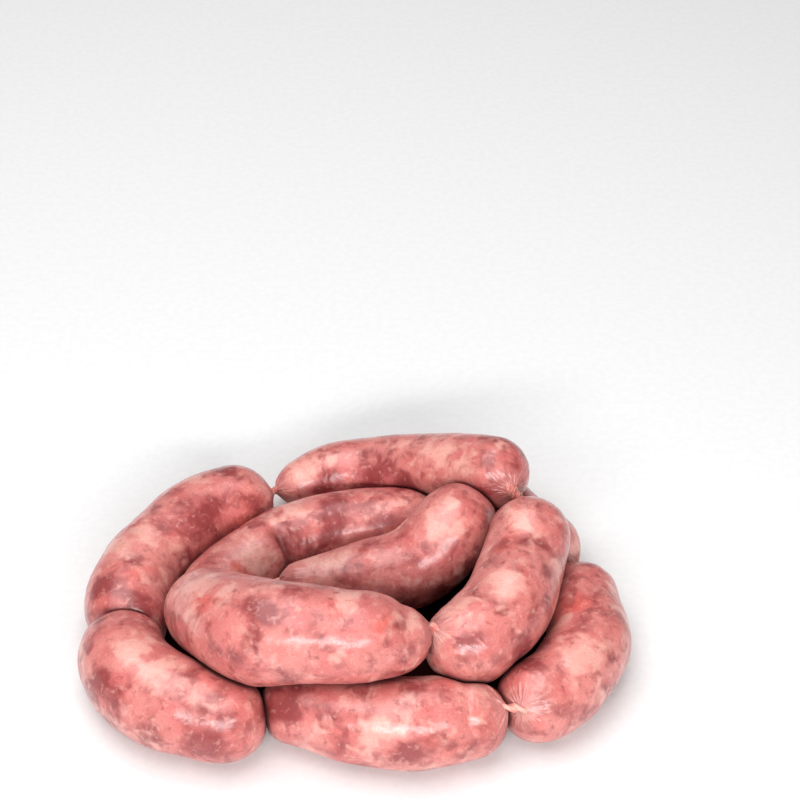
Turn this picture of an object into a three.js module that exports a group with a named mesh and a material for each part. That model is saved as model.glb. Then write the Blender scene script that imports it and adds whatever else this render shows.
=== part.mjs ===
// A string of fresh pork sausage links, heaped in a loose coil as it lies on a table.
// One length of casing holds every link: between two links it is pinched and twisted,
// and each loose end of the string is a short empty tail. Millimetres, +Z up. The heap
// rests on z = 0 and its footprint is centred on the origin.

import * as THREE from 'three';

// Driving dimensions, in millimetres
const END_RADIUS = 1.8; // a link where its casing is pinched off
const TWIST_RADIUS = 1.9; // the twisted casing between two links
const TWIST_PITCH = 7; // length of casing in which a twist turns once
const TWIST_LEAD = 0.14; // share of a twist's span that leaves each link straight
const TWIST_SOFTNESS = 6; // stretch over which a strand's rings turn, each way
const TAIL_TIP_RADIUS = 0.8; // the loose end of a tail
const CONTACT_GAP = 0.5; // clearance between two links that press together
const TWIST_GAP = 0.35; // clearance between a twist and the meat beside it
const CREASE_ROUNDING = 0.6; // softness of the edge round a pressed face
const LUMP_HEIGHT = 0.35; // swell of the filling under the casing
const LUMP_LENGTH = 31; // distance from one swell to the next
const LUMP_FREE_DEPTH = 10; // swells fade out nearer than this to a pinch
const LUMP_SHIFT = 2.3; // angle by which each link's swells are out of step with the last
const LOBE_DEPTH = 0.18; // share of its radius by which a twist's lobes stand out
const BEND_SOFTNESS = 9; // stretch over which a sharp bend's rings turn, each way
const THINNEST = 0.3; // the least that is left of a wall squeezed from both sides
const WIDEST_RAY = 26; // longer than any way from a link's middle to its casing
const HEAP_MIDDLE = [-0.2, 9.8]; // x and y of the footprint's middle in the tables below

// Fineness of the surfaces
const DOME_RINGS = 7;
const BODY_RINGS = 12;
const LINK_SIDES = 16;
const TWIST_RINGS = 9;
const TWIST_SIDES = 10;
const SPINE_POINTS = 34;
const SEARCH_STEPS = 14;
const DOME_SEARCH_STEPS = 8;
const SEARCH_MARGIN = 2.4; // how far beyond its round skin a wall looks for a neighbour

// The links in their order along the string. Each row is a point on the middle of the
// meat, from pinch to pinch: x, y, height above the table, and radius of the link there.
const LINKS = [
  {
    name: 'link_01',
    path: [
      [-32, 18, 16.6, 6],
      [-17.5, 19.3, 16.4, 9.6],
      [-0.5, 20.6, 17, 13.8],
      [20, 22.6, 18.6, 17.3],
      [33.5, 27.6, 25, 17.8],
      [43, 37, 33, 16.8],
      [49, 49, 20, 13],
    ],
  },
  {
    name: 'link_02',
    path: [
      [38, 57.5, 16, 13],
      [20, 57, 15, 15.2],
      [1, 55, 15, 15.8],
      [-15.5, 51, 15, 16],
      [-31.5, 43, 15, 16.1],
      [-47.5, 29, 15, 15.8],
      [-60, 14, 14.6, 15.2],
      [-65.5, -0.5, 16, 13.5],
    ],
  },
  {
    name: 'link_03',
    path: [
      [-67.5, -3, 26, 15],
      [-61.5, -15, 32.6, 17.8],
      [-51.5, -28.5, 40, 19.8],
      [-39, -41, 46.4, 21.5],
      [-20.5, -47.6, 51.8, 19.9],
      [-4, -48.6, 51.3, 18.6],
      [6, -48.2, 50.7, 17.8],
      [15.5, -46.8, 47.7, 14.7],
      [30, -41.5, 48, 11.5],
    ],
  },
  {
    name: 'link_04',
    path: [
      [33, -41, 47, 14],
      [44.6, -38.6, 36.4, 17.6],
      [54, -30.5, 37.5, 18.2],
      [63, -18, 38.5, 18.6],
      [70, 6, 39, 17.8],
      [73.8, 22, 42.5, 16.8],
      [72.3, 36, 43, 14.5],
    ],
  },
  {
    name: 'link_05',
    path: [
      [66.6, 45.3, 45, 14],
      [64.6, 54.3, 43.8, 15.6],
      [55.8, 61.6, 41.2, 15.5],
      [37, 74.2, 32.2, 15],
      [13.5, 86, 21, 14.8],
      [-10.5, 88.5, 15, 14.4],
      [-26.5, 84.6, 12.8, 10.6],
      [-36, 80, 13.4, 6.5],
    ],
  },
  {
    name: 'link_06',
    path: [
      [-39.5, 74.5, 16, 13],
      [-52.5, 68, 16.6, 16.8],
      [-67.5, 60.5, 17, 17.8],
      [-80.3, 43.3, 17.4, 18],
      [-91.8, 23.5, 17.4, 18],
      [-96.4, 1.2, 16.7, 17.5],
      [-82, -11, 11, 14],
    ],
  },
  {
    name: 'link_07',
    path: [
      [-80.8, -19.4, 9.6, 13.5],
      [-95, -25.8, 18.4, 17.5],
      [-89.2, -40.6, 18.8, 19.6],
      [-76, -52.4, 19, 20.1],
      [-60.6, -58.6, 18.4, 18.9],
      [-49.4, -61, 17, 17.4],
      [-41, -50, 9, 14.5],
    ],
  },
  {
    name: 'link_08',
    path: [
      [-31.5, -46, 9, 14],
      [-23.5, -54.5, 17, 15],
      [-1, -60.8, 17.8, 17.7],
      [19, -64.5, 18.2, 18.8],
      [33, -62.8, 17.8, 18.4],
      [45, -60.8, 16.3, 16.4],
      [60, -62.5, 25, 14],
    ],
  },
  {
    name: 'link_09',
    path: [
      [67.4, -62.8, 25.2, 14.5],
      [74.5, -51, 16.6, 17.3],
      [87.6, -38.8, 16.8, 17.4],
      [97, -19, 17, 17.6],
      [95.9, 3.4, 15.8, 16.2],
      [94.8, 24.3, 15.2, 13.4],
    ],
  },
  {
    name: 'link_10',
    path: [
      [94, 29, 15, 13.5],
      [87.5, 34, 15, 15.8],
      [78, 44, 15, 16],
      [66, 60, 15, 16],
      [56.5, 78, 14.8, 15.6],
      [51, 93, 15, 12.5],
    ],
  },
];

// The empty tails of casing at the string's two loose ends: x, y and height of points
// beyond the end of the first and of the last link.
const FIRST_TAIL = [
  [-35, 17, 16.3],
  [-39, 14, 14.5],
  [-41, 9, 13.5],
];
const LAST_TAIL = [
  [49.5, 96, 14],
  [46, 100, 9],
  [41, 102, 4],
];

const MEAT = { color: 0xdd948b, roughness: 0.35, metalness: 0 };
const CASING = { color: 0xe9c4b8, roughness: 0.3, metalness: 0 };

// A smooth line through the rows of a table, with every column carried along it.
function smoothLine(rows) {
  const place = rows.map(([x, y, z]) => new THREE.Vector3(x, y, z));
  const girth = rows.map((row) => new THREE.Vector3(row[3], 0, 0));
  return {
    middle: new THREE.CatmullRomCurve3(place, false, 'catmullrom'),
    girth: new THREE.CatmullRomCurve3(girth, false, 'catmullrom'),
  };
}

// A link's middle line and girth, read by the distance along it.
function routeOf(path) {
  const { middle, girth } = smoothLine(path);
  const length = middle.getLength();
  const shareAt = (along) => THREE.MathUtils.clamp(along / length, 0, 1);
  return {
    length,
    pointAt: (along) => middle.getPointAt(shareAt(along)),
    girthAt: (along) => girth.getPoint(middle.getUtoTmapping(shareAt(along))).x,
  };
}

// Evenly spaced stations from pinch to pinch. A ball of the inner radius at each station
// just fills the casing there.
function spineOf({ length, pointAt, girthAt }) {
  return Array.from({ length: SPINE_POINTS }, (_, i) => {
    const along = (length * i) / (SPINE_POINTS - 1);
    return { point: pointAt(along), inner: Math.min(girthAt(along), along, length - along) };
  });
}

// The domed end of a link: how far along it the dome reaches, the dome's middle, and the
// direction from there to the pinch.
function domeOf({ length, pointAt, girthAt }, atStart) {
  let depth = 0;
  for (let i = 0; i < DOME_SEARCH_STEPS; i += 1) depth = girthAt(atStart ? depth : length - depth);
  const middle = pointAt(atStart ? depth : length - depth);
  const toPinch = pointAt(atStart ? 0 : length).sub(middle).normalize();
  return { depth, middle, toPinch };
}

// Stations between a link's two domes, each facing along the link.
function bodyStations({ length, pointAt }, startDepth, endDepth) {
  const last = length - endDepth;
  const bodyPoint = (along) => pointAt(THREE.MathUtils.clamp(along, startDepth, last));
  return Array.from({ length: BODY_RINGS }, (_, i) => {
    const along = THREE.MathUtils.lerp(startDepth, last, i / (BODY_RINGS - 1));
    const facing = bodyPoint(along + BEND_SOFTNESS).sub(bodyPoint(along - BEND_SOFTNESS));
    return { point: pointAt(along), facing: facing.normalize(), along };
  });
}

// Two directions square to the line at each station, carried along it without spinning.
function addFrames(stations) {
  let side = new THREE.Vector3(0, 0, 1);
  for (const station of stations) {
    side = side.clone().addScaledVector(station.facing, -side.dot(station.facing)).normalize();
    station.side = side;
    station.other = new THREE.Vector3().crossVectors(station.facing, side);
  }
  return stations;
}

// Distance from a point to the plain round skin of a link, negative inside it.
function distanceToSkin(point, spine) {
  let nearest = Infinity;
  for (let i = 0; i < spine.length - 1; i += 1) {
    const a = spine[i];
    const b = spine[i + 1];
    const dx = b.point.x - a.point.x;
    const dy = b.point.y - a.point.y;
    const dz = b.point.z - a.point.z;
    const px = point.x - a.point.x;
    const py = point.y - a.point.y;
    const pz = point.z - a.point.z;
    const share = (px * dx + py * dy + pz * dz) / (dx * dx + dy * dy + dz * dz);
    const t = Math.min(1, Math.max(0, share));
    const gap = Math.hypot(px - t * dx, py - t * dy, pz - t * dz);
    nearest = Math.min(nearest, gap - a.inner - t * (b.inner - a.inner));
  }
  return nearest;
}

// The furthest that a wall can stand from the middle along a ray while it still has room.
function reachWithRoom(start, ray, furthest, room) {
  const probe = new THREE.Vector3();
  if (room(probe.copy(start).addScaledVector(ray, furthest)) >= 0) return furthest;
  let low = 0;
  let high = furthest;
  for (let i = 0; i < SEARCH_STEPS; i += 1) {
    const middle = (low + high) / 2;
    if (room(probe.copy(start).addScaledVector(ray, middle)) >= 0) low = middle;
    else high = middle;
  }
  return low;
}

// The direction at an angle round a station.
function rayAt(side, other, angle) {
  return side.clone().multiplyScalar(Math.cos(angle)).addScaledVector(other, Math.sin(angle));
}

// Points at even angles round a station.
function ringOf(sides, pointAtAngle) {
  return Array.from({ length: sides }, (_, j) => pointAtAngle((2 * Math.PI * j) / sides));
}

// The smaller of two lengths, with the corner between them rounded.
function softSmaller(a, b, rounding) {
  const least = Math.min(a, b);
  const sum = Math.exp((least - a) / rounding) + Math.exp((least - b) / rounding);
  return least - rounding * Math.log(sum);
}

// A closed body from rings of points, with a fan at each end and its faces outward.
function bodyFromRings(rings) {
  const sides = rings[0].length;
  const positions = rings.flat().flatMap((p) => [p.x, p.y, p.z]);
  const index = [];
  for (let i = 0; i < rings.length - 1; i += 1) {
    for (let j = 0; j < sides; j += 1) {
      const next = (j + 1) % sides;
      const a = i * sides + j;
      const b = i * sides + next;
      index.push(a, b, b + sides, a, b + sides, a + sides);
    }
  }
  const ends = [rings[0], rings.at(-1)];
  ends.forEach((ring, which) => {
    const centre = new THREE.Vector3();
    ring.forEach((p) => centre.add(p));
    centre.divideScalar(sides);
    const hub = positions.length / 3;
    positions.push(centre.x, centre.y, centre.z);
    const first = which === 0 ? 0 : (rings.length - 1) * sides;
    for (let j = 0; j < sides; j += 1) {
      const a = first + j;
      const b = first + ((j + 1) % sides);
      if (which === 0) index.push(hub, b, a);
      else index.push(hub, a, b);
    }
  });
  const geometry = new THREE.BufferGeometry();
  geometry.setAttribute('position', new THREE.Float32BufferAttribute(positions, 3));
  geometry.setIndex(index);
  geometry.computeVertexNormals();
  return geometry;
}

// The rings of rays in a dome, from the pinch towards its widest ring, which is left out.
function domeRays({ middle, toPinch, depth }, { side, other }) {
  const least = Math.asin(END_RADIUS / depth);
  return Array.from({ length: DOME_RINGS }, (_, i) => {
    const polar = THREE.MathUtils.lerp(least, Math.PI / 2, i / DOME_RINGS);
    const ray = (angle) => {
      const outward = rayAt(side, other, angle).multiplyScalar(Math.sin(polar));
      return outward.addScaledVector(toPinch, Math.cos(polar)).normalize();
    };
    return { point: middle, ray, along: depth * (1 - Math.cos(polar)) };
  });
}

// One link: round, slightly lumpy, pressed flat wherever it meets a neighbour or the table.
function linkBody(order, routes, spines) {
  const route = routes[order];
  const own = spines[order];
  const others = spines.filter((spine) => spine !== own);
  const insideOwn = (p) => -distanceToSkin(p, own);
  const clearOfOthers = (p) => {
    const nearest = Math.min(...others.map((spine) => distanceToSkin(p, spine)));
    return nearest - distanceToSkin(p, own) - CONTACT_GAP;
  };
  const startDome = domeOf(route, true);
  const endDome = domeOf(route, false);
  const stations = addFrames(bodyStations(route, startDome.depth, endDome.depth));
  const body = stations.map(({ point, side, other, along }) => {
    return { point, ray: (angle) => rayAt(side, other, angle), along };
  });
  const last = domeRays(endDome, stations.at(-1)).map((ring) => {
    return { ...ring, along: route.length - ring.along };
  });
  const all = [...domeRays(startDome, stations[0]), ...body, ...last.reverse()];
  const rings = all.map(({ point, ray, along }) => {
    const fullness = Math.min(1, along / LUMP_FREE_DEPTH, (route.length - along) / LUMP_FREE_DEPTH);
    const wave = (2 * Math.PI * along) / LUMP_LENGTH + LUMP_SHIFT * order;
    return ringOf(LINK_SIDES, (angle) => {
      const direction = ray(angle);
      const lump = LUMP_HEIGHT * fullness * Math.sin(wave) * Math.cos(angle + order);
      const plain = reachWithRoom(point, direction, WIDEST_RAY, insideOwn) + lump;
      const limit = reachWithRoom(point, direction, plain + SEARCH_MARGIN, clearOfOthers);
      const reach = Math.max(THINNEST, softSmaller(plain, limit, CREASE_ROUNDING));
      const p = point.clone().addScaledVector(direction, reach);
      p.z = Math.max(0, p.z);
      return p;
    });
  });
  return bodyFromRings(rings);
}

// Twisted casing along a line: a strand of two lobes that winds as it goes.
function strandBody(points, startRadius, endRadius, spines) {
  const line = new THREE.CatmullRomCurve3(points, false, 'catmullrom');
  const length = line.getLength();
  const softness = TWIST_SOFTNESS / length;
  const pointAt = (share) => line.getPointAt(THREE.MathUtils.clamp(share, 0, 1));
  const stations = [];
  for (let i = 0; i < TWIST_RINGS; i += 1) {
    const share = i / (TWIST_RINGS - 1);
    const facing = pointAt(share + softness).sub(pointAt(share - softness)).normalize();
    stations.push({ share, point: pointAt(share), facing });
  }
  const clearOfMeat = (p) => {
    const nearest = Math.min(...spines.map((spine) => distanceToSkin(p, spine)));
    return nearest - TWIST_GAP;
  };
  const rings = addFrames(stations).map(({ share, point, side, other }) => {
    const radius = THREE.MathUtils.lerp(startRadius, endRadius, share);
    const turn = (2 * Math.PI * share * length) / TWIST_PITCH;
    return ringOf(TWIST_SIDES, (angle) => {
      const ray = rayAt(side, other, angle);
      const lobed = radius * (1 + LOBE_DEPTH * Math.cos(2 * angle - turn));
      const reach = Math.max(THINNEST, reachWithRoom(point, ray, lobed, clearOfMeat));
      return point.clone().addScaledVector(ray, reach);
    });
  });
  return bodyFromRings(rings);
}

// The end of a link: its place on the skin, and the way its casing leaves it.
function linkEnd(route, spine, atStart) {
  const { middle, toPinch } = domeOf(route, atStart);
  const reach = reachWithRoom(middle, toPinch, WIDEST_RAY, (p) => -distanceToSkin(p, spine));
  return { point: middle.addScaledVector(toPinch, reach), away: toPinch };
}

function named(name, geometry, finish) {
  const mesh = new THREE.Mesh(geometry, new THREE.MeshStandardMaterial(finish));
  mesh.name = name;
  mesh.position.set(-HEAP_MIDDLE[0], -HEAP_MIDDLE[1], 0);
  return mesh;
}

function twoDigits(number) {
  return String(number).padStart(2, '0');
}

const group = new THREE.Group();
const routes = LINKS.map((link) => routeOf(link.path));
const spines = routes.map(spineOf);

LINKS.forEach((link, order) => {
  group.add(named(link.name, linkBody(order, routes, spines), MEAT));
});

for (let order = 0; order < LINKS.length - 1; order += 1) {
  const from = linkEnd(routes[order], spines[order], false);
  const to = linkEnd(routes[order + 1], spines[order + 1], true);
  const lead = TWIST_LEAD * from.point.distanceTo(to.point);
  const points = [
    from.point.clone().addScaledVector(from.away, TWIST_GAP),
    from.point.clone().addScaledVector(from.away, TWIST_GAP + lead),
    to.point.clone().addScaledVector(to.away, TWIST_GAP + lead),
    to.point.clone().addScaledVector(to.away, TWIST_GAP),
  ];
  const strand = strandBody(points, TWIST_RADIUS, TWIST_RADIUS, spines);
  group.add(named(`twist_${twoDigits(order + 1)}`, strand, CASING));
}

[
  { name: 'tail_01', end: linkEnd(routes[0], spines[0], true), table: FIRST_TAIL },
  { name: 'tail_02', end: linkEnd(routes.at(-1), spines.at(-1), false), table: LAST_TAIL },
].forEach(({ name, end, table }) => {
  const points = table.map(([x, y, z]) => new THREE.Vector3(x, y, z));
  points.unshift(end.point.clone().addScaledVector(end.away, TWIST_GAP));
  const strand = strandBody(points, TWIST_RADIUS, TAIL_TIP_RADIUS, spines);
  group.add(named(name, strand, CASING));
});

export default group;
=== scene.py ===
# A heaped string of fresh pork sausage links: the casings with their mottled filling,
# the twisted casing between the links and the two loose tails. Metres unless a name says mm.

import math

import bpy
import mathutils
import numpy as np
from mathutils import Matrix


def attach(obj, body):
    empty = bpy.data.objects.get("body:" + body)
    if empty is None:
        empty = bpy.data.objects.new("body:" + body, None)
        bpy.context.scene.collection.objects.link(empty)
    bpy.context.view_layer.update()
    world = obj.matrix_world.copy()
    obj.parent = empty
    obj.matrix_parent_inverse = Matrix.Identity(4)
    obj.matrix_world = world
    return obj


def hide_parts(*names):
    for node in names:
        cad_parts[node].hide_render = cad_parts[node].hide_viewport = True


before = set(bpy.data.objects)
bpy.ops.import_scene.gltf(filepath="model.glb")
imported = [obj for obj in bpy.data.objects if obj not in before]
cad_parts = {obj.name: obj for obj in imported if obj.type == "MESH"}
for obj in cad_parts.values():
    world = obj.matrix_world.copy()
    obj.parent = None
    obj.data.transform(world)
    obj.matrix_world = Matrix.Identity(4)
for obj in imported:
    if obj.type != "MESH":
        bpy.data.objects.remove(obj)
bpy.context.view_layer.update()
mm = 0.001

# Where the string lies

heapMiddleMm = (-0.2, 9.8)  # x and y of the footprint's middle in the routes below

# rows of x, y, height and radius in mm, from pinch to pinch
linkRoutes = {
    "link_01": [
        (-32, 18, 16.6, 6), (-17.5, 19.3, 16.4, 9.6), (-0.5, 20.6, 17, 13.8),
        (20, 22.6, 18.6, 17.3), (33.5, 27.6, 25, 17.8), (43, 37, 33, 16.8), (49, 49, 20, 13),
    ],
    "link_02": [
        (38, 57.5, 16, 13), (20, 57, 15, 15.2), (1, 55, 15, 15.8), (-15.5, 51, 15, 16),
        (-31.5, 43, 15, 16.1), (-47.5, 29, 15, 15.8), (-60, 14, 14.6, 15.2),
        (-65.5, -0.5, 16, 13.5),
    ],
    "link_03": [
        (-67.5, -3, 26, 15), (-61.5, -15, 32.6, 17.8), (-51.5, -28.5, 40, 19.8),
        (-39, -41, 46.4, 21.5), (-20.5, -47.6, 51.8, 19.9), (-4, -48.6, 51.3, 18.6),
        (6, -48.2, 50.7, 17.8), (15.5, -46.8, 47.7, 14.7), (30, -41.5, 48, 11.5),
    ],
    "link_04": [
        (33, -41, 47, 14), (44.6, -38.6, 36.4, 17.6), (54, -30.5, 37.5, 18.2),
        (63, -18, 38.5, 18.6), (70, 6, 39, 17.8), (73.8, 22, 42.5, 16.8), (72.3, 36, 43, 14.5),
    ],
    "link_05": [
        (66.6, 45.3, 45, 14), (64.6, 54.3, 43.8, 15.6), (55.8, 61.6, 41.2, 15.5),
        (37, 74.2, 32.2, 15), (13.5, 86, 21, 14.8), (-10.5, 88.5, 15, 14.4),
        (-26.5, 84.6, 12.8, 10.6), (-36, 80, 13.4, 6.5),
    ],
    "link_06": [
        (-39.5, 74.5, 16, 13), (-52.5, 68, 16.6, 16.8), (-67.5, 60.5, 17, 17.8),
        (-80.3, 43.3, 17.4, 18), (-91.8, 23.5, 17.4, 18), (-96.4, 1.2, 16.7, 17.5),
        (-82, -11, 11, 14),
    ],
    "link_07": [
        (-80.8, -19.4, 9.6, 13.5), (-95, -25.8, 18.4, 17.5), (-89.2, -40.6, 18.8, 19.6),
        (-76, -52.4, 19, 20.1), (-60.6, -58.6, 18.4, 18.9), (-49.4, -61, 17, 17.4),
        (-41, -50, 9, 14.5),
    ],
    "link_08": [
        (-31.5, -46, 9, 14), (-23.5, -54.5, 17, 15), (-1, -60.8, 17.8, 17.7),
        (19, -64.5, 18.2, 18.8), (33, -62.8, 17.8, 18.4), (45, -60.8, 16.3, 16.4),
        (60, -62.5, 25, 14),
    ],
    "link_09": [
        (67.4, -62.8, 25.2, 14.5), (74.5, -51, 16.6, 17.3), (87.6, -38.8, 16.8, 17.4),
        (97, -19, 17, 17.6), (95.9, 3.4, 15.8, 16.2), (94.8, 24.3, 15.2, 13.4),
    ],
    "link_10": [
        (94, 29, 15, 13.5), (87.5, 34, 15, 15.8), (78, 44, 15, 16), (66, 60, 15, 16),
        (56.5, 78, 14.8, 15.6), (51, 93, 15, 12.5),
    ],
}

# points in mm beyond the string's first and last pinch
tailRoutes = {
    "tail_01": [(-35, 17, 16.3), (-39, 14, 14.5), (-41, 9, 13.5)],
    "tail_02": [(49.5, 96, 14), (46, 100, 9), (41, 102, 4)],
}

# larger patches of the filling that show through, by kind: x, y and height on the heap, and
# reach, in mm
patches = {
    "fat": [
        (-48, -48, 65, 5.5), (-63, -34, 56, 9), (0, -58, 69, 5), (25, -55, 58, 5),
        (12, -88, 30, 7), (46, -72, 32, 7), (-87, -53, 38, 9), (-76, -64, 37, 7),
        (-102, 14, 33, 9), (-93, 20, 35, 7), (-25, 73, 24, 9), (36, 54, 48, 10),
        (-44, 12, 28, 7), (-25, 41, 30, 7), (34, 16, 46, 8), (-11, 7, 27, 7), (-20, 9, 26, 6),
        (41, -47, 53, 8), (60, -32, 56, 8), (68, 3, 57, 7), (36, -54, 45, 5), (93, -52, 32, 9),
        (84, -31, 30, 6), (95, 23, 19, 7), (70, -73, 25, 5),
    ],
    "lean": [
        (-35, -62, 68, 6.5), (-44, -70, 51, 5), (21, -92, 23, 6), (-27, -74, 28, 8),
        (-54, -87, 20, 9), (-97, -66, 29, 7), (-66, 34, 30, 9), (-104, -12, 31, 7),
        (-58, 60, 33, 6), (6, 64, 25, 9), (-13, 66, 20, 7), (21, 57, 28, 7), (58, 35, 48, 6),
        # the lean patch at x -27, y 25 darkens the inside of the crease as painted shade
        (-8, 40, 30, 9), (-27, 25, 25, 6), (27, 3, 34, 6), (-11, 29, 24, 5), (-89, -17, 30, 6),
        (48, -61, 46, 6), (71, -53, 32, 7),
    ],
    "warm": [
        (-20, -64, 70, 9), (15, -63, 64, 6), (-61, -49, 56, 7), (39, -88, 24, 11),
        (49, -81, 28, 8), (-64, -82, 29, 7), (-54, 7, 29, 7), (58, -13, 54, 7),
        (91, -20, 33, 5),
    ],
}

# a sharp crease inside a bend
crease = {
    "link": "link_02",
    "place": np.array([-30, 19.5, 24]) * mm,  # on the skin
    "halfWidth": 2.1 * mm,
    "depth": 3.4 * mm,
    "reach": 11 * mm,
    "crumpling": 2.0,  # how much more the casing round it is wrinkled
}


def metres(rows):
    placed = np.array(rows, float)
    placed[:, 0] -= heapMiddleMm[0]
    placed[:, 1] -= heapMiddleMm[1]
    return placed * mm


def smoothLine(rows, count=700):
    # fine samples of a Catmull-Rom line through the rows, with every column carried along
    knots = np.vstack([2 * rows[0] - rows[1], rows, 2 * rows[-1] - rows[-2]])
    place = np.linspace(0, len(rows) - 1, count)
    start = np.minimum(place.astype(int), len(rows) - 2)
    f = (place - start)[:, None]
    before, here, there, after = (knots[start + k] for k in range(4))
    leave = (there - before) / 2
    arrive = (after - here) / 2
    square = -3 * here + 3 * there - 2 * leave - arrive
    cube = 2 * here - 2 * there + leave + arrive
    return here + leave * f + square * f ** 2 + cube * f ** 3


class Route:
    # the middle line of one link, measured by the distance along it

    def __init__(self, rows):
        self.samples = smoothLine(metres(rows))
        steps = np.linalg.norm(np.diff(self.samples[:, :3], axis=0), axis=1)
        self.along = np.concatenate([[0], np.cumsum(steps)])
        self.length = self.along[-1]

    def at(self, along):
        along = np.clip(along, 0, self.length)
        return np.stack([np.interp(along, self.along, column) for column in self.samples.T], axis=1)

    def inner(self, along):
        # radius of the largest ball that fits the casing here
        return np.minimum(self.at(along)[:, 3], np.minimum(along, self.length - along))

    def dome(self, atStart):
        # how far a domed end reaches, its middle, and the direction from there to the pinch
        depth = 0.0
        for _ in range(skin["domeSearchSteps"]):
            depth = self.at(np.array([depth if atStart else self.length - depth]))[0, 3]
        places = np.array([0.0, depth])
        pinch, middle = self.at(places if atStart else self.length - places)[:, :3]
        toPinch = (pinch - middle) / np.linalg.norm(pinch - middle)
        return depth, middle, toPinch

    def spine(self, count):
        along = np.linspace(0, self.length, count)
        return np.hstack([self.at(along)[:, :3], self.inner(along)[:, None]])


routes = {name: Route(rows) for name, rows in linkRoutes.items()}

# The links' skins

skin = {
    "quadSize": 1.25 * mm,  # before one subdivision
    "sides": 88,
    "spinePoints": 64,
    "endRadius": 1.6 * mm,  # where the casing is pinched off
    "contactGap": 0.16 * mm,  # between two links that press together
    "creaseRounding": 0.55 * mm,  # softness of the edge round a pressed face
    "bendSoftness": 9 * mm,  # stretch over which a sharp bend's rings turn
    "lumpHeight": 0.35 * mm,
    "lumpLength": 31 * mm,
    "lumpFreeDepth": 10 * mm,
    "lumpShift": 2.3,
    "searchMargin": 2.4 * mm,
    "nearbyMargin": 4.4 * mm,  # links further apart than this don't shape each other
    "widestRay": 26 * mm,
    "thinnest": 0.3 * mm,
    "roomyGap": 1.6 * mm,  # relief is at its full height this far from a neighbour
    "betweenLinksShadeReach": 2.6 * mm,  # a neighbour this close darkens the colour with painted shade
    "searchSteps": 14,
    "domeSearchSteps": 8,
    "noiseStep": 3.7,  # shift of the fold noise from one link to the next
    "bendScale": 0.017,  # turns a bend's sharpness per metre into 0 to 1
}


def distanceToSkin(points, spine):
    # signed distance to the round skin round a spine of x, y, z, inner radius
    nearest = np.full(len(points), np.inf)
    for a, b in zip(spine[:-1], spine[1:]):
        step = b[:3] - a[:3]
        away = points - a[:3]
        share = np.clip(away @ step / (step @ step), 0, 1)
        gap = np.linalg.norm(away - share[:, None] * step, axis=1)
        nearest = np.minimum(nearest, gap - a[3] - share * (b[3] - a[3]))
    return nearest


def nearestSkin(points, spines):
    return np.min([distanceToSkin(points, spine) for spine in spines], axis=0)


def reachWithRoom(starts, rays, furthest, room):
    # the furthest that each wall point can stand along its ray while it still has room there
    low = np.zeros(len(starts))
    high = np.array(furthest, float)
    free = room(starts + rays * high[:, None]) >= 0
    for _ in range(skin["searchSteps"]):
        middle = (low + high) / 2
        fits = room(starts + rays * middle[:, None]) >= 0
        low = np.where(fits, middle, low)
        high = np.where(fits, high, middle)
    return np.where(free, furthest, low)


def softSmaller(a, b, rounding):
    least = np.minimum(a, b)
    return least - rounding * np.log(np.exp((least - a) / rounding) + np.exp((least - b) / rounding))


def bodyPlaces(route, startDepth, endDepth):
    # even steps between the two domes, and the way the link faces at each
    last = route.length - endDepth
    count = int((last - startDepth) / skin["quadSize"])
    along = np.linspace(startDepth, last, count)
    soft = skin["bendSoftness"]
    ahead = route.at(np.clip(along + soft, startDepth, last))[:, :3]
    facing = ahead - route.at(np.clip(along - soft, startDepth, last))[:, :3]
    return along, facing / np.linalg.norm(facing, axis=1)[:, None]


def carriedFrames(facing):
    # two directions square to the line at each ring, carried along it without spinning
    side = np.array([0.0, 0.0, 1.0])
    sides = []
    for ahead in facing:
        side = side - ahead * (side @ ahead)
        side = side / np.linalg.norm(side)
        sides.append(side)
    sides = np.array(sides)
    return sides, np.cross(facing, sides)


def nearbySpines(name, spines):
    # spines close enough to touch this link
    own = spines[name]
    close = []
    for other, spine in spines.items():
        if other == name:
            continue
        if min(distanceToSkin(own[:, :3], spine) - own[:, 3]) < skin["nearbyMargin"]:
            close.append(spine)
    return close


def closedRings(points, rings, sides):
    # faces of a tube of rings with a hub point at each end, outward
    faces = []
    for i in range(rings - 1):
        for j in range(sides):
            a = i * sides + j
            b = i * sides + (j + 1) % sides
            faces.append((a, b, b + sides, a + sides))
    hubs = (len(points), len(points) + 1)
    last = (rings - 1) * sides
    for j in range(sides):
        following = (j + 1) % sides
        faces.append((hubs[0], following, j))
        faces.append((hubs[1], last + j, last + following))
    ends = [points[:sides].mean(axis=0), points[last:].mean(axis=0)]
    return np.vstack([points, ends]), faces


def addAttribute(mesh, name, values):
    values = np.asarray(values, float)
    if values.ndim == 1:
        mesh.attributes.new(name, "FLOAT", "POINT").data.foreach_set("value", values)
    else:
        mesh.attributes.new(name, "FLOAT_VECTOR", "POINT").data.foreach_set("vector", values.ravel())


def meshObject(name, points, faces):
    mesh = bpy.data.meshes.new(name)
    mesh.from_pydata([tuple(p) for p in points], [], faces)
    mesh.update()
    made = bpy.data.objects.new(name, mesh)
    bpy.context.scene.collection.objects.link(made)
    return made


def domeRays(dome, sideWay, otherWay, angles):
    # rings of rays from the middle of a domed end, from the pinch to its widest ring
    depth, _, toPinch = dome
    least = math.asin(skin["endRadius"] / depth)
    count = int(depth * math.pi / 2 / skin["quadSize"])
    polar = np.linspace(least, math.pi / 2, count, endpoint=False)
    outward = np.outer(np.cos(angles), sideWay) + np.outer(np.sin(angles), otherWay)
    rays = np.sin(polar)[:, None, None] * outward[None] + np.cos(polar)[:, None, None] * toPinch
    rays /= np.linalg.norm(rays, axis=2)[:, :, None]
    return rays, depth * (1 - np.cos(polar))


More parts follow.
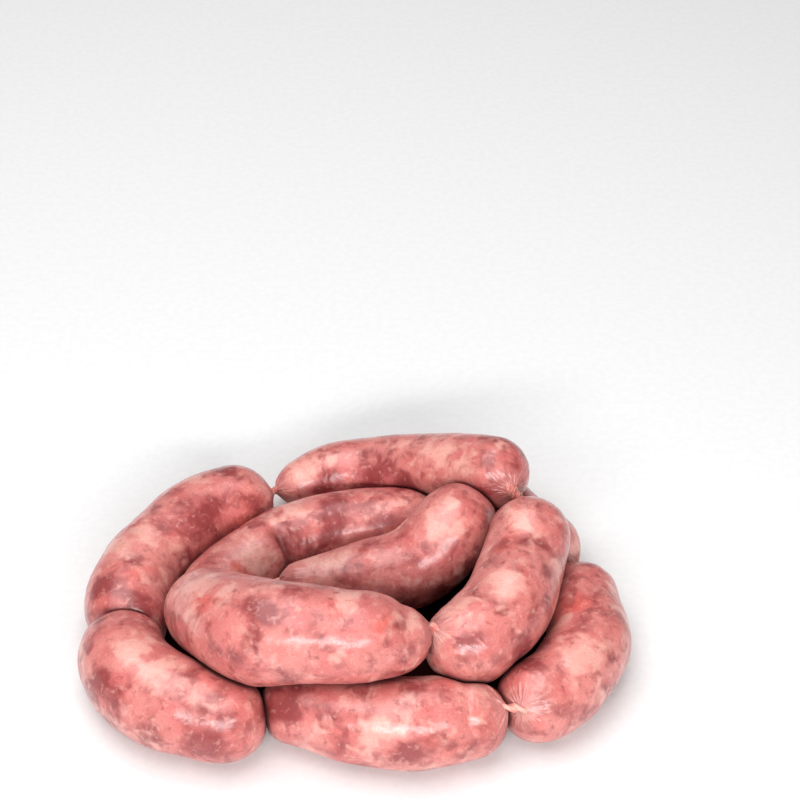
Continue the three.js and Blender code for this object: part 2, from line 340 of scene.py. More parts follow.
def patchWeights(points):
    # how strongly each wall point lies in a patch of fat, lean and warm filling
    weights = []
    for places in patches.values():
        away = [np.linalg.norm(points - np.array([x, y, z]) * mm, axis=1) / (reach * mm)
                for x, y, z, reach in places]
        weights.append(np.exp(-np.min(away, axis=0) ** 2))
    return np.stack(weights, axis=1)


def linkEnd(name, atStart, spines):
    # the end of a link: its place on the skin, and the way its casing leaves it
    _, middle, toPinch = routes[name].dome(atStart)
    reach = reachWithRoom(middle[None], toPinch[None], [skin["widestRay"]],
                          lambda points: -distanceToSkin(points, spines[name]))
    return middle + toPinch * reach[0], toPinch


def withDomes(first, body, last, counts):
    # the body's rows, with the same row for every ring of each dome
    return np.vstack([np.tile(first, (counts[0], 1)), body, np.tile(last, (counts[1], 1))])


def wallRays(route):
    # for every wall point, ring after ring from pinch to pinch: where its ray starts, the ray,
    # its place along the link and round it, and the way the link faces there
    startDome = route.dome(True)
    endDome = route.dome(False)
    along, facing = bodyPlaces(route, startDome[0], endDome[0])
    sideWays, otherWays = carriedFrames(facing)
    sides = skin["sides"]
    angles = np.arange(sides) * 2 * math.pi / sides
    bodyRays = (sideWays[:, None] * np.cos(angles)[None, :, None]
                + otherWays[:, None] * np.sin(angles)[None, :, None])
    startRays, startAlong = domeRays(startDome, sideWays[0], otherWays[0], angles)
    endRays, endAlong = domeRays(endDome, sideWays[-1], otherWays[-1], angles)
    counts = (len(startAlong), len(endAlong))
    middles = withDomes(startDome[1], route.at(along)[:, :3], endDome[1], counts)
    ways = withDomes(facing[0], facing, facing[-1], counts)
    rings = np.concatenate([startAlong, along, route.length - endAlong[::-1]])
    return {
        "start": np.repeat(middles, sides, axis=0),
        "ray": np.concatenate([startRays, bodyRays, endRays[::-1]]).reshape(-1, 3),
        "along": np.repeat(rings, sides),
        "angle": np.tile(angles, len(rings)),
        "facing": np.repeat(ways, sides, axis=0),
    }


def skinReach(order, route, own, others, wall):
    # how far out the casing stands on each ray, and how much room it has there, from 0 to 1
    def insideOwn(points):
        return -distanceToSkin(points, own)

    def clearOfOthers(points):
        return nearestSkin(points, others) - distanceToSkin(points, own) - skin["contactGap"]

    starts, rays, along = wall["start"], wall["ray"], wall["along"]
    fromEnd = np.minimum(along, route.length - along)
    wave = 2 * math.pi * along / skin["lumpLength"] + skin["lumpShift"] * order
    fullness = np.minimum(1, fromEnd / skin["lumpFreeDepth"])
    lump = skin["lumpHeight"] * fullness * np.sin(wave) * np.cos(wall["angle"] + order)
    widest = np.full(len(starts), skin["widestRay"])
    plain = reachWithRoom(starts, rays, widest, insideOwn) + lump
    limit = reachWithRoom(starts, rays, plain + skin["searchMargin"], clearOfOthers)
    reach = np.maximum(skin["thinnest"], softSmaller(plain, limit, skin["creaseRounding"]))
    room = np.clip((limit - plain + skin["creaseRounding"]) / skin["roomyGap"], 0, 1)
    return reach, room


def linkSkin(order, name, spines):
    route = routes[name]
    others = nearbySpines(name, spines)
    wall = wallRays(route)
    reach, room = skinReach(order, route, spines[name], others, wall)
    points = wall["start"] + wall["ray"] * reach[:, None]
    # room falls to nothing at the floor: the relief flattens there and the colour takes painted shade
    room *= np.clip(points[:, 2] / skin["roomyGap"], 0, 1)
    points[:, 2] = np.maximum(points[:, 2], 0)

    bend = bendAt(route, wall["along"], wall["ray"])
    if name == crease["link"]:
        dent, crumpling = creaseAt(points, wall["facing"])
        bend += crumpling
        # the crease takes away room, which also darkens it with painted shade
        room *= 1 - dent
        points -= wall["ray"] * (dent * crease["depth"])[:, None]

    ends = [linkEnd(name, atStart, spines)[0] for atStart in (True, False)]
    poleDistance = np.min([np.linalg.norm(points - end, axis=1) for end in ends], axis=0)
    # painted shade: the filling's colour darkens where another link is near
    betweenLinksShade = np.exp(-np.maximum(nearestSkin(points, others), 0) / skin["betweenLinksShadeReach"])
    shift = np.full(len(points), order * skin["noiseStep"])
    around = np.stack([np.cos(wall["angle"]), np.sin(wall["angle"]), shift], axis=1)
    # values on the wall, and on the hub point at each pinch
    fields = {
        "around": (around, [[0, 0, shift[0]]] * 2),
        "along": (wall["along"], [0, route.length]),
        "poleDistance": (poleDistance, [0, 0]),
        "room": (room, [1, 1]),
        "innerBend": (bend, [0, 0]),
        "betweenLinksShade": (betweenLinksShade, [0, 0]),
        "patches": (patchWeights(points), np.zeros((2, 3))),
    }
    sides = skin["sides"]
    points, faces = closedRings(points, len(points) // sides, sides)
    made = meshObject(f"{name}_skin", points, faces)
    for label, (values, atHubs) in fields.items():
        addAttribute(made.data, label, np.concatenate([values, atHubs]))
    return made


def creaseAt(points, ways):
    # how deep the crease is at each wall point, and how much it crumples the casing there
    away = points - crease["place"]
    across = np.sum(away * ways, axis=1) / crease["halfWidth"]
    near = np.linalg.norm(away, axis=1) / crease["reach"]
    return np.exp(-across ** 2 - near ** 4), crease["crumpling"] * np.exp(-near ** 2)


def bendAt(route, along, rays):
    # how far a wall lies on the inside of a bend, from 0 to 1
    reach = skin["bendSoftness"]
    turn = route.at(along + reach) + route.at(along - reach) - 2 * route.at(along)
    inward = np.sum(turn[:, :3] * rays, axis=1) / reach ** 2
    return np.clip(inward * skin["bendScale"], 0, 1)


# Node helpers


def addNode(tree, kind, sockets=None, **settings):
    made = tree.nodes.new(kind)
    for name, value in settings.items():
        setattr(made, name, value)
    for key, value in (sockets or {}).items():
        if isinstance(value, bpy.types.NodeSocket):
            tree.links.new(value, made.inputs[key])
        else:
            made.inputs[key].default_value = value
    return made


def calc(tree, operation, *values):
    return addNode(tree, "ShaderNodeMath", dict(enumerate(values)), operation=operation).outputs[0]


def scaled(tree, vector, factor):
    return addNode(tree, "ShaderNodeVectorMath", {0: vector, 3: factor}, operation="SCALE").outputs[0]


def vectorCalc(tree, operation, *values):
    made = addNode(tree, "ShaderNodeVectorMath", dict(enumerate(values)), operation=operation)
    return made.outputs["Value" if operation == "LENGTH" else "Vector"]


def summed(tree, first, second):
    return vectorCalc(tree, "ADD", first, second)


def joined(tree, x, y, z):
    return addNode(tree, "ShaderNodeCombineXYZ", {0: x, 1: y, 2: z}).outputs[0]


def stretched(tree, value, low, high, lowTo=0.0, highTo=1.0):
    sockets = {0: value, 1: low, 2: high, 3: lowTo, 4: highTo}
    return addNode(tree, "ShaderNodeMapRange", sockets, interpolation_type="SMOOTHSTEP").outputs[0]


def bell(tree, value):
    # 1 at value 0, falling off like a bell curve
    return calc(tree, "EXPONENT", calc(tree, "MULTIPLY", calc(tree, "MULTIPLY", value, value), -1.0))


def noise(tree, vector, scale, detail=2.0, roughness=0.5, distortion=0.0):
    sockets = {"Vector": vector, "Scale": scale, "Detail": detail, "Roughness": roughness,
               "Distortion": distortion}
    return addNode(tree, "ShaderNodeTexNoise", sockets).outputs


def shapeTree(name, inputs):
    # an empty geometry tree with named inputs
    tree = bpy.data.node_groups.new(name, "GeometryNodeTree")
    tree.interface.new_socket("Geometry", in_out="INPUT", socket_type="NodeSocketGeometry")
    for label, kind in inputs:
        tree.interface.new_socket(label, in_out="INPUT", socket_type=f"NodeSocket{kind}")
    tree.interface.new_socket("Geometry", in_out="OUTPUT", socket_type="NodeSocketGeometry")
    return tree, tree.nodes.new("NodeGroupInput").outputs


def finishTree(tree, geometry, finish):
    smooth = addNode(tree, "GeometryNodeSetShadeSmooth", {"Geometry": geometry})
    real = addNode(tree, "GeometryNodeRealizeInstances", {"Geometry": smooth.outputs[0]})
    dressed = addNode(tree, "GeometryNodeSetMaterial", {
        "Geometry": real.outputs[0], "Material": finish})
    addNode(tree, "NodeGroupOutput", {"Geometry": dressed.outputs[0]})


def attributeOf(tree, name, kind="FLOAT"):
    return addNode(tree, "GeometryNodeInputNamedAttribute", {"Name": name}, data_type=kind).outputs[0]


def pushedOut(tree, geometry, normal, height):
    sockets = {"Geometry": geometry, "Offset": scaled(tree, normal, height)}
    return addNode(tree, "GeometryNodeSetPosition", sockets).outputs[0]


def centredNoise(tree, vector, scale, detail=2.0, roughness=0.5, distortion=0.0):
    # noise from about -0.5 to 0.5
    return calc(tree, "SUBTRACT", noise(tree, vector, scale, detail, roughness, distortion)[0], 0.5)


def applyTree(target, tree, values):
    # runs the tree on the object and keeps the result as a plain mesh
    modifier = target.modifiers.new(tree.name, "NODES")
    modifier.node_group = tree
    for item in tree.interface.items_tree:
        if item.item_type == "SOCKET" and item.in_out == "INPUT" and item.name in values:
            modifier[item.identifier] = values[item.name]
    graph = bpy.context.evaluated_depsgraph_get()
    evaluated = target.evaluated_get(graph)
    mesh = bpy.data.meshes.new_from_object(evaluated, preserve_all_data_layers=True, depsgraph=graph)
    plain = bpy.data.objects.new(target.name, mesh)
    name = target.name
    bpy.data.objects.remove(target, do_unlink=True)
    plain.name = name
    mesh.name = name
    bpy.context.scene.collection.objects.link(plain)
    return plain


# Relief of the casing: soft swells, folds that gather at each pinch, wrinkles inside a bend

relief = {
    "Lump Height": 0.9 * mm,
    "Lump Size": 13 * mm,
    "Dimple Height": 0.32 * mm,
    "Dimple Size": 4.5 * mm,
    "Fold Depth": 0.95 * mm,
    "Fold Count": 15.0,
    "Fold Reach": 10 * mm,
    "Cone Height": 1.3 * mm,
    "Cone Width": 3.6 * mm,
    "Wrinkle Height": 0.35 * mm,
    "Wrinkle Length": 3.2 * mm,
}
reliefBuild = {
    "foldRise": 70.0,  # change of the folds away from the pinch, per metre
    "foldSharpness": 5.0,
    "foldFloor": 0.45,
    "foldHub": (0.5 * mm, 3.5 * mm, 0.25, 1.0),  # distances from the pinch, and their share there
    "wrinkleTurn": 2.4,  # how often the wrinkles break up round the link
    "wrinkleBent": 2.2,  # their height inside a bend, on top of that elsewhere
    "wrinklePlain": 0.22,
}


def reliefTree():
    inputs = [(label, "Float") for label in relief]
    tree, given = shapeTree("casingRelief", inputs + [("Finish", "Material")])
    fine = addNode(tree, "GeometryNodeSubdivisionSurface", {
        "Mesh": given["Geometry"], "Level": 1}).outputs[0]
    position = tree.nodes.new("GeometryNodeInputPosition").outputs[0]
    normal = tree.nodes.new("GeometryNodeInputNormal").outputs[0]
    around = attributeOf(tree, "around", "FLOAT_VECTOR")
    along = attributeOf(tree, "along")
    distance = attributeOf(tree, "poleDistance")
    room = attributeOf(tree, "room")
    bend = attributeOf(tree, "innerBend")

    swell = centredNoise(tree, position, calc(tree, "DIVIDE", 1.0, given["Lump Size"]), 1.0)
    swell = calc(tree, "MULTIPLY", swell, given["Lump Height"])
    dimple = centredNoise(tree, position, calc(tree, "DIVIDE", 1.0, given["Dimple Size"]))
    dimple = calc(tree, "MULTIPLY", dimple, given["Dimple Height"])

    # folds: noise read round the link, so that it closes on itself
    circle = scaled(tree, around, calc(tree, "DIVIDE", given["Fold Count"], 2 * math.pi))
    outward = joined(tree, 0.0, 0.0, calc(tree, "MULTIPLY", distance, reliefBuild["foldRise"]))
    ridge = calc(tree, "ABSOLUTE", centredNoise(tree, summed(tree, circle, outward), 1.0, 2.5, 0.6))
    ridge = calc(tree, "MULTIPLY", ridge, reliefBuild["foldSharpness"])
    ridge = calc(tree, "SUBTRACT", ridge, reliefBuild["foldFloor"])
    fade = bell(tree, calc(tree, "DIVIDE", distance, given["Fold Reach"]))
    hub = stretched(tree, distance, *reliefBuild["foldHub"])
    folds = calc(tree, "MULTIPLY", calc(tree, "MULTIPLY", ridge, given["Fold Depth"]),
                 calc(tree, "MULTIPLY", fade, hub))

    # a low cone where the dome is drawn out into the twist
    cone = bell(tree, calc(tree, "DIVIDE", distance, given["Cone Width"]))
    cone = calc(tree, "MULTIPLY", cone, given["Cone Height"])

    # wrinkles: short waves along the link, broken up round it
    waves = joined(tree, 0.0, 0.0, calc(tree, "DIVIDE", along, given["Wrinkle Length"]))
    turned = summed(tree, scaled(tree, around, reliefBuild["wrinkleTurn"]), waves)
    crumple = centredNoise(tree, turned, 1.0, 2.0, 0.55, 0.6)
    crumple = calc(tree, "MULTIPLY", crumple, given["Wrinkle Height"])
    bent = calc(tree, "MULTIPLY", bend, reliefBuild["wrinkleBent"])
    bent = calc(tree, "ADD", bent, reliefBuild["wrinklePlain"])
    crumple = calc(tree, "MULTIPLY", crumple, bent)

    total = calc(tree, "ADD", calc(tree, "ADD", swell, dimple), calc(tree, "ADD", folds, crumple))
    total = calc(tree, "ADD", calc(tree, "MULTIPLY", total, room), cone)
    moved = pushedOut(tree, fine, normal, total)
    finishTree(tree, moved, given["Finish"])
    return tree


# Finish of the filling seen through its casing, with painted shade between links and where they press;
# colours are sRGB numbers out of 255

meatShades = {
    "base": (199, 105, 101),
    "pale": (212, 129, 122),
    "fat": (229, 165, 153),
    "lean": (138, 50, 52),
    # dark: the colour of the dark specks, also used as painted shade between links and at contacts
    "darkSpecksAndShade": (82, 15, 17),
    "warm": (212, 96, 87),
    "veil": (190, 125, 121),
    "streak": (226, 170, 162),
    "sheen": (225, 185, 185),
}
meatFinish = {
    "patchPull": 0.24,  # how far a placed patch shifts the mottling
    "mottleRoughness": 0.55,
    "driftScale": 120.0,
    "driftReach": 5.5 * mm,  # how far the mottling's outlines are pulled about
    "grainScale": 1300.0,
    "grainShade": (0.91, 1.08),
    "veilFade": (2 * mm, 12 * mm, 0.55, 0.0),  # distances from a pinch, and strength at each
    "streakFade": (2 * mm, 10 * mm, 0.32, 0.0),
    "streakCount": 3.4,
    "streakRise": 60.0,
    "streakLevels": (0.53, 0.64),  # noise where a streak starts and where it is full
    "betweenLinksShading": 0.55,  # how much painted shade darkens the meat between two links
    "pressedShading": 0.6,  # and painted shade where it is pressed against a link, the floor or the crease
    "roughnessScale": 160.0,
    "roughness": (0.38, 0.54),
    "specular": 0.4,
    "subsurface": 0.22,
    "subsurfaceRadius": (1.0, 0.35, 0.25),
    "subsurfaceScale": 4 * mm,
    "coat": 0.7,
    "coatRoughness": 0.22,
    "sheen": 0.04,
    "sheenRoughness": 0.5,
    "bump": {"Strength": 0.55, "Distance": 0.6 * mm},
    "coatBump": {"Strength": 0.6, "Distance": 0.4 * mm},
}
# mottling, one layer over the other: shade, noise place, scale and detail, noise where it starts
# and where it is full, its strength there, and the placed patches that shift it
mottling = [
    ("pale", "warped", 62.0, 2.0, 0.36, 0.64, 1.0, "fat"),
    ("warm", "further", 48.0, 2.0, 0.58, 0.79, 0.75, "warm"),
    ("lean", "shifted", 96.0, 2.5, 0.45, 0.73, 0.9, "lean"),
    ("lean", "further", 210.0, 2.0, 0.56, 0.72, 0.55, None),
    ("fat", "warped", 105.0, 2.0, 0.53, 0.74, 0.85, "fat"),
    ("fat", "shifted", 330.0, 3.0, 0.54, 0.72, 0.4, None),
    ("darkSpecksAndShade", "plain", 620.0, 2.0, 0.58, 0.74, 0.14, None),
]
# relief too fine for the mesh: noise place, scale and roughness, and weight
fineRelief = [("plain", 1500.0, 0.65, 0.22), ("warped", 260.0, 0.6, 0.45)]


def linearColour(shade):
    # sRGB numbers out of 255 as Blender's linear red, green, blue and alpha
    channels = [c / 255 for c in shade]
    return (*(c / 12.92 if c <= 0.04045 else ((c + 0.055) / 1.055) ** 2.4 for c in channels), 1.0)


def blended(tree, factor, first, second, mode="MIX"):
    sockets = {0: factor, 6: first, 7: second}
    return addNode(tree, "ShaderNodeMix", sockets, data_type="RGBA", blend_type=mode).outputs[2]


def newMaterial(name):
    material = bpy.data.materials.new(name)
    material.use_nodes = True
    tree = material.node_tree
    tree.nodes.clear()
    shader = tree.nodes.new("ShaderNodeBsdfPrincipled")
    output = tree.nodes.new("ShaderNodeOutputMaterial")
    tree.links.new(shader.outputs[0], output.inputs[0])
    return material, tree, shader.inputs


def setSockets(shader, values):
    for name, value in values.items():
        shader[name].default_value = value


def mottle(tree, place, scale, detail, low, high, most, pull=None):
    # soft-edged blotches from 0 to most; pull moves them in or out
    field = noise(tree, place, scale, detail, meatFinish["mottleRoughness"])[0]
    if pull is not None:
        field = calc(tree, "ADD", field, pull)
    return stretched(tree, field, low, high, 0.0, most)


def meshValue(tree, name, kind="Fac"):
    return addNode(tree, "ShaderNodeAttribute", attribute_name=name).outputs[kind]


def noisePlaces(tree):
    # where the noises are read: plainly, with pulled-about outlines, and far off from there
    plain = tree.nodes.new("ShaderNodeTexCoord").outputs["Object"]
    drift = noise(tree, plain, meatFinish["driftScale"], 2.0)[1]
    drift = vectorCalc(tree, "SUBTRACT", drift, (0.5, 0.5, 0.5))
    warped = summed(tree, plain, scaled(tree, drift, meatFinish["driftReach"]))
    return {
        "plain": plain,
        "warped": warped,
        "shifted": summed(tree, warped, (0.31, 0.17, 0.53)),
        "further": summed(tree, warped, (0.71, 0.43, 0.13)),
    }


def patchPulls(tree):
    # each kind of placed patch draws its own mottling in and pushes the opposite kind out
    separated = addNode(tree, "ShaderNodeSeparateXYZ", {0: meshValue(tree, "patches", "Vector")})
    fat, lean, warm = separated.outputs
    pairs = {"fat": (fat, lean), "lean": (lean, fat), "warm": (warm, lean)}
    return {kind: calc(tree, "MULTIPLY", calc(tree, "SUBTRACT", *pair), meatFinish["patchPull"])
            for kind, pair in pairs.items()}


def fillingColour(tree, shades, places):
    pulls = patchPulls(tree)
    colour = shades["base"]
    for shade, place, scale, detail, low, high, most, kind in mottling:
        blotches = mottle(tree, places[place], scale, detail, low, high, most, pulls.get(kind))
        colour = blended(tree, blotches, colour, shades[shade])
    grain = noise(tree, places["plain"], meatFinish["grainScale"], 2.0, 0.6)[0]
    grey = stretched(tree, grain, 0.3, 0.7, *meatFinish["grainShade"])
    return blended(tree, 1.0, colour, joined(tree, grey, grey, grey), "MULTIPLY")


def casingMarksAndPaintedShade(tree, colour, shades):
    # a grey veil and pale gathered streaks towards each pinch, and painted shade between links and
    # where they press together
    distance = meshValue(tree, "poleDistance")
    veil = stretched(tree, distance, *meatFinish["veilFade"])
    colour = blended(tree, veil, colour, shades["veil"])

    circle = scaled(tree, meshValue(tree, "around", "Vector"), meatFinish["streakCount"])
    rise = calc(tree, "MULTIPLY", meshValue(tree, "along"), meatFinish["streakRise"])
    gather = noise(tree, summed(tree, circle, joined(tree, 0.0, 0.0, rise)), 1.0, 2.0, 0.6)[0]
    fade = stretched(tree, distance, *meatFinish["streakFade"])
    streaks = calc(tree, "MULTIPLY", stretched(tree, gather, *meatFinish["streakLevels"]), fade)
    colour = blended(tree, streaks, colour, shades["streak"])

    # painted shade between links
    betweenLinksShaded = calc(tree, "MULTIPLY", meshValue(tree, "betweenLinksShade"), meatFinish["betweenLinksShading"])
    colour = blended(tree, betweenLinksShaded, colour, shades["darkSpecksAndShade"])
    # painted shade where a link presses on another, on the floor or into the crease
    pressedShade = stretched(tree, meshValue(tree, "room"), 0.0, 1.0, meatFinish["pressedShading"], 0.0)
    return blended(tree, pressedShade, colour, shades["darkSpecksAndShade"])


def meatMaterial():
    material, tree, shader = newMaterial("porkInCasing")
    shades = {name: linearColour(shade) for name, shade in meatShades.items()}
    places = noisePlaces(tree)
    colour = casingMarksAndPaintedShade(tree, fillingColour(tree, shades, places), shades)
    tree.links.new(colour, shader["Base Color"])

    patchy = noise(tree, places["shifted"], meatFinish["roughnessScale"], 3.0)[0]
    roughness = stretched(tree, patchy, 0.35, 0.65, *meatFinish["roughness"])
    tree.links.new(roughness, shader["Roughness"])
    setSockets(shader, {
        "Specular IOR Level": meatFinish["specular"],
        "Subsurface Weight": meatFinish["subsurface"],
        "Subsurface Radius": meatFinish["subsurfaceRadius"],
        "Subsurface Scale": meatFinish["subsurfaceScale"],
        "Coat Weight": meatFinish["coat"],
        "Coat Roughness": meatFinish["coatRoughness"],
        "Sheen Weight": meatFinish["sheen"],
        "Sheen Roughness": meatFinish["sheenRoughness"],
        "Sheen Tint": shades["sheen"],
    })

    grains = [calc(tree, "MULTIPLY", noise(tree, places[place], scale, 3.0, roughness)[0], weight)
              for place, scale, roughness, weight in fineRelief]
    height = calc(tree, "ADD", *grains)
    for socket, bump in (("Normal", "bump"), ("Coat Normal", "coatBump")):
        made = addNode(tree, "ShaderNodeBump", {**meatFinish[bump], "Height": height})
        tree.links.new(made.outputs[0], shader[socket])
    return material


# Twisted casing between two links, and the loose tails

strand = {
    "Thickness": 1.5 * mm,
    "Flare": 2.8 * mm,  # extra radius where the strand opens into a link
    "Pitch": 10 * mm,
    "Lobe Depth": 0.26,
    "Crumple": 0.9 * mm,
    "Tip Share": 1.0,
}
strandBuild = {
    "rings": 40,
    "sides": 30,
    "intoLink": 1.9 * mm,  # how deep a strand's end is sunk in a link's pucker
    "leadShare": 0.14,
    "tipShare": 0.42,
    "tailFlare": 1.6 * mm,
    "flareSharpness": 5.0,
    "crumpleScale": 420.0,
    "lineSamples": 60,
    "mergeDistance": 0.01 * mm,
    # the two lumpy twists on top of the heap
    "twist_03": {"Thickness": 2.3 * mm, "Crumple": 1.5 * mm, "Pitch": 6 * mm},
    "twist_04": {"Thickness": 2.1 * mm, "Crumple": 1.4 * mm, "Pitch": 6 * mm},
}


def strandTree():
    inputs = [(label, "Float") for label in strand]
    tree, given = shapeTree("twistedCasing", inputs + [("Finish", "Material")])
    even = addNode(tree, "GeometryNodeResampleCurve", {
        "Curve": given["Geometry"], "Count": strandBuild["rings"]})
    place = addNode(tree, "GeometryNodeSplineParameter").outputs
    factor = place["Factor"]
    fromMiddle = calc(tree, "SUBTRACT", calc(tree, "MULTIPLY", factor, 2.0), 1.0)
    opening = calc(tree, "ABSOLUTE", fromMiddle)
    opening = calc(tree, "POWER", opening, strandBuild["flareSharpness"])
    opening = calc(tree, "MULTIPLY", opening, given["Flare"])
    taper = addNode(tree, "ShaderNodeMapRange", {0: factor, 3: 1.0, 4: given["Tip Share"]}).outputs[0]
    radius = calc(tree, "MULTIPLY", calc(tree, "ADD", given["Thickness"], opening), taper)
    sized = addNode(tree, "GeometryNodeSetCurveRadius", {"Curve": even.outputs[0], "Radius": radius})
    turn = calc(tree, "MULTIPLY", calc(tree, "DIVIDE", place["Length"], given["Pitch"]), 2 * math.pi)
    wound = addNode(tree, "GeometryNodeSetCurveTilt", {"Curve": sized.outputs[0], "Tilt": turn})

    ring = addNode(tree, "GeometryNodeCurvePrimitiveCircle", {
        "Resolution": strandBuild["sides"], "Radius": 1.0})
    share = addNode(tree, "GeometryNodeSplineParameter").outputs["Factor"]
    wave = calc(tree, "COSINE", calc(tree, "MULTIPLY", share, 4 * math.pi))
    lobes = calc(tree, "ADD", calc(tree, "MULTIPLY", wave, given["Lobe Depth"]), 1.0)
    position = tree.nodes.new("GeometryNodeInputPosition").outputs[0]
    lobed = addNode(tree, "GeometryNodeSetPosition", {
        "Geometry": ring.outputs[0], "Position": scaled(tree, position, lobes)})
    swept = addNode(tree, "GeometryNodeCurveToMesh", {
        "Curve": wound.outputs[0], "Profile Curve": lobed.outputs[0],
        "Scale": addNode(tree, "GeometryNodeInputRadius").outputs[0], "Fill Caps": True})
    knit = addNode(tree, "GeometryNodeMergeByDistance", {
        "Geometry": swept.outputs[0], "Distance": strandBuild["mergeDistance"]})
    bumpy = centredNoise(tree, position, strandBuild["crumpleScale"])
    push = calc(tree, "MULTIPLY", bumpy, given["Crumple"])
    normal = tree.nodes.new("GeometryNodeInputNormal").outputs[0]
    moved = pushedOut(tree, knit.outputs[0], normal, push)
    finishTree(tree, moved, given["Finish"])
    return tree


def curveObject(name, points):
    line = smoothLine(np.array(points, float), strandBuild["lineSamples"])
    curve = bpy.data.curves.new(name, "CURVE")
    curve.dimensions = "3D"
    spline = curve.splines.new("POLY")
    spline.points.add(len(line) - 1)
    for point, place in zip(spline.points, line):
        point.co = (*place, 1.0)
    made = bpy.data.objects.new(name, curve)
    bpy.context.scene.collection.objects.link(made)
    return made


casingFinish = {
    "thin": (206, 122, 112),
    "gathered": (228, 170, 155),
    "shade": (156, 76, 72),
    "broadScale": 220.0,
    "gatheredLevels": (0.4, 0.62),
    "pleatScale": 620.0,
    "pleatLevels": (0.55, 0.72, 0.0, 0.5),
    "roughness": (0.2, 0.4),
    "subsurface": 0.5,
    "subsurfaceRadius": (1.0, 0.5, 0.4),
    "subsurfaceScale": 2 * mm,
    "coat": 0.3,
    "coatRoughness": 0.25,
    "bump": {"Strength": 0.4, "Distance": 0.3 * mm},
}


def casingMaterial():
    material, tree, shader = newMaterial("bareCasing")
    thin, gathered, shade = (linearColour(casingFinish[name]) for name in ("thin", "gathered", "shade"))
    place = tree.nodes.new("ShaderNodeTexCoord").outputs["Object"]
    broad = noise(tree, place, casingFinish["broadScale"], 3.0)[0]
    pleats = noise(tree, place, casingFinish["pleatScale"], 2.0)[0]
    colour = blended(tree, stretched(tree, broad, *casingFinish["gatheredLevels"]), thin, gathered)
    colour = blended(tree, stretched(tree, pleats, *casingFinish["pleatLevels"]), colour, shade)
    tree.links.new(colour, shader["Base Color"])
    roughness = stretched(tree, broad, 0.3, 0.7, *casingFinish["roughness"])
    tree.links.new(roughness, shader["Roughness"])
    setSockets(shader, {
        "Subsurface Weight": casingFinish["subsurface"],
        "Subsurface Radius": casingFinish["subsurfaceRadius"],
        "Subsurface Scale": casingFinish["subsurfaceScale"],
        "Coat Weight": casingFinish["coat"],
        "Coat Roughness": casingFinish["coatRoughness"],
    })
    bump = addNode(tree, "ShaderNodeBump", {**casingFinish["bump"], "Height": pleats})
    tree.links.new(bump.outputs[0], shader["Normal"])
    return material


def buildLinks(spines, finish):
    tree = reliefTree()
    for order, name in enumerate(linkRoutes):
        made = applyTree(linkSkin(order, name, spines), tree, {**relief, "Finish": finish})
        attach(made, "root")
        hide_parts(name)
    print("links dressed:", len(linkRoutes))


def dressStrand(node, points, tree, values, finish):
    curve = curveObject(f"{node}_casing", points)
    made = applyTree(curve, tree, {**strand, **values, "Finish": finish})
    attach(made, "root")
    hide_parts(node)


def buildStrands(spines, finish):
    tree = strandTree()
    names = list(linkRoutes)
    sunk = strandBuild["intoLink"]
    for order, (left, right) in enumerate(zip(names[:-1], names[1:]), start=1):
        start, startAway = linkEnd(left, False, spines)
        end, endAway = linkEnd(right, True, spines)
        lead = strandBuild["leadShare"] * np.linalg.norm(end - start)
        points = [start - startAway * sunk, start + startAway * lead,
                  end + endAway * lead, end - endAway * sunk]
        node = f"twist_{order:02d}"
        dressStrand(node, points, tree, strandBuild.get(node, {}), finish)
    for node, link, atStart in (("tail_01", names[0], True), ("tail_02", names[-1], False)):
        place, away = linkEnd(link, atStart, spines)
        rows = metres([(*row, 0) for row in tailRoutes[node]])[:, :3]
        points = [place - away * sunk, *rows]
        values = {"Tip Share": strandBuild["tipShare"], "Flare": strandBuild["tailFlare"]}
        dressStrand(node, points, tree, values, finish)
    print("twists and tails dressed")


# Camera, floor and light

cameraSetup = {
    "place": (0.01912, -0.64606, 0.65626),
    "tiltDegrees": 50.497,
    "lens": 95.85,
    "sensor": 36.0,
    "clipStart": 0.01,
}
studio = {
    "floorSize": 8.0,
    "floorShade": (232, 232, 232),
    "fibreScale": 300.0,
    "fibreShade": (0.97, 1.0),
    "floorRoughness": 0.9,
    "underHeapShadeColour": (24, 7, 6),  # painted shade on the paper inside the ring of links, seen through the gaps
    "underHeapShadeHalf": (0.092, 0.052),
    "underHeapShadeMiddle": (0.0, -0.005),
    "underHeapShadeEdge": (0.9, 1.08),  # shares of its half size between which it fades
    "worldShade": (255, 255, 255),
    "worldStrength": 0.16,
}
# name, place, watts, width, depth, and the point that it looks at
softboxes = [
    ("topSoftbox", (-0.25, 0.02, 1.5), 25.5, 1.8, 1.4, (0, 0, 0.03)),
    ("frontSoftbox", (0.08, -0.95, 0.58), 11.4, 1.1, 0.13, (0, 0, 0.03)),
]


def placeCamera():
    camera = bpy.data.objects.new("camera", bpy.data.cameras.new("camera"))
    camera.location = cameraSetup["place"]
    camera.rotation_euler = (math.radians(cameraSetup["tiltDegrees"]), 0, 0)
    camera.data.lens = cameraSetup["lens"]
    camera.data.sensor_width = cameraSetup["sensor"]
    camera.data.clip_start = cameraSetup["clipStart"]
    bpy.context.scene.collection.objects.link(camera)
    bpy.context.scene.camera = camera


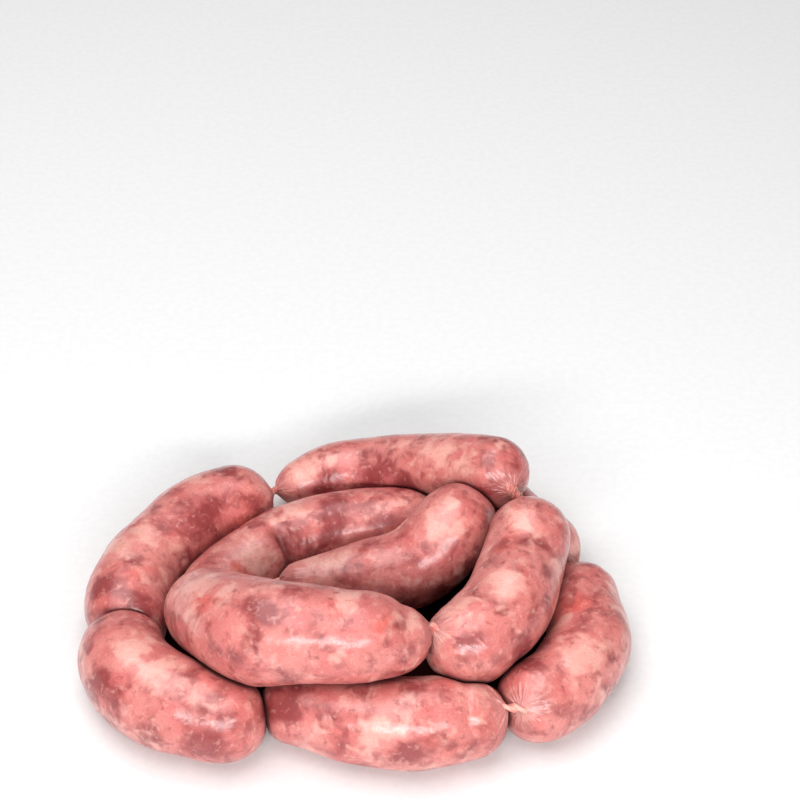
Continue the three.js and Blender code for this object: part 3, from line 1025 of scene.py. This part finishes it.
def floorMaterial():
    material, tree, shader = newMaterial("floorPaper")
    place = tree.nodes.new("ShaderNodeTexCoord").outputs["Object"]
    fibre = noise(tree, place, studio["fibreScale"], 2.0)[0]
    fibre = stretched(tree, fibre, 0.3, 0.7, *studio["fibreShade"])
    paper = blended(tree, 1.0, linearColour(studio["floorShade"]), joined(tree, fibre, fibre, fibre),
                    "MULTIPLY")
    # painted shade under the heap: the paper darkens inside an oval under the ring of links
    fromMiddle = vectorCalc(tree, "SUBTRACT", place, (*studio["underHeapShadeMiddle"], 0))
    shares = tuple(1 / half for half in studio["underHeapShadeHalf"])
    outward = vectorCalc(tree, "LENGTH", vectorCalc(tree, "MULTIPLY", fromMiddle, (*shares, 0)))
    underHeapShade = stretched(tree, outward, *studio["underHeapShadeEdge"], 1.0, 0.0)
    paper = blended(tree, underHeapShade, paper, linearColour(studio["underHeapShadeColour"]))
    tree.links.new(paper, shader["Base Color"])
    setSockets(shader, {"Roughness": studio["floorRoughness"], "Specular IOR Level": 0.0})
    return material


def layFloor():
    half = studio["floorSize"] / 2
    corners = [(-half, -half, 0), (half, -half, 0), (half, half, 0), (-half, half, 0)]
    floor = meshObject("floor", corners, [(0, 1, 2, 3)])
    floor.data.materials.append(floorMaterial())


def hangSoftboxes():
    for name, place, watts, width, depth, target in softboxes:
        light = bpy.data.lights.new(name, "AREA")
        light.shape = "RECTANGLE"
        light.energy = watts
        light.size = width
        light.size_y = depth
        lamp = bpy.data.objects.new(name, light)
        lamp.location = place
        aim = mathutils.Vector(target) - mathutils.Vector(place)
        lamp.rotation_euler = aim.to_track_quat("-Z", "Y").to_euler()
        bpy.context.scene.collection.objects.link(lamp)


def lightWorld():
    world = bpy.data.worlds.new("studioWorld")
    world.use_nodes = True
    background = world.node_tree.nodes["Background"].inputs
    background[0].default_value = linearColour(studio["worldShade"])
    background[1].default_value = studio["worldStrength"]
    bpy.context.scene.world = world
    bpy.context.scene.view_settings.view_transform = "Standard"


placeCamera()
layFloor()
hangSoftboxes()
lightWorld()
print("studio ready")
spines = {name: route.spine(skin["spinePoints"]) for name, route in routes.items()}
buildLinks(spines, meatMaterial())
buildStrands(spines, casingMaterial())
